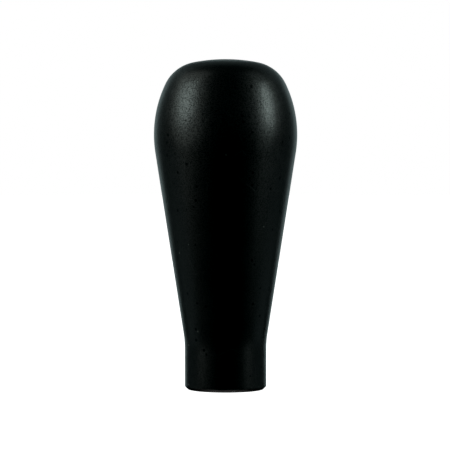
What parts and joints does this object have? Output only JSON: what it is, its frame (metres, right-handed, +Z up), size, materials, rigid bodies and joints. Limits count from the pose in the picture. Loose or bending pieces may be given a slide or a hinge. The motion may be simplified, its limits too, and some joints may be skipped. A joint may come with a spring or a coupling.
{
  "type": "gear lever knob",
  "caption": "Tall pear-shaped grip with a shallow dome, a straight taper and a short plain neck, weighted inside and screwed onto a lever from below.",
  "frame": {"origin": "centre of the neck's flat rim, which the knob stands on", "axes": "+Z up the knob's own axis to the crown of the head; the retaining ring's gap faces -Y and the weight's air flute +Y"},
  "size_m": [0.0494, 0.0494, 0.114],
  "materials": {
    "turned_acetal": "black acetal, fine-turned to a satin finish",
    "weight_steel": "bright turned bar, oiled",
    "damper_rubber": "matt black sheet",
    "insert_brass": "machined, straight knurl outside",
    "seal_rubber": "moulded nitrile",
    "ring_spring_steel": "phosphated and oiled spring steel"
  },
  "bodies": {
    "root": {"grip_shell": "turned_acetal", "weight_bar": "weight_steel", "damper_disc": "damper_rubber", "thread_insert": "insert_brass", "shank_o_ring": "seal_rubber", "retaining_ring": "ring_spring_steel"}
  },
  "joints": []
}
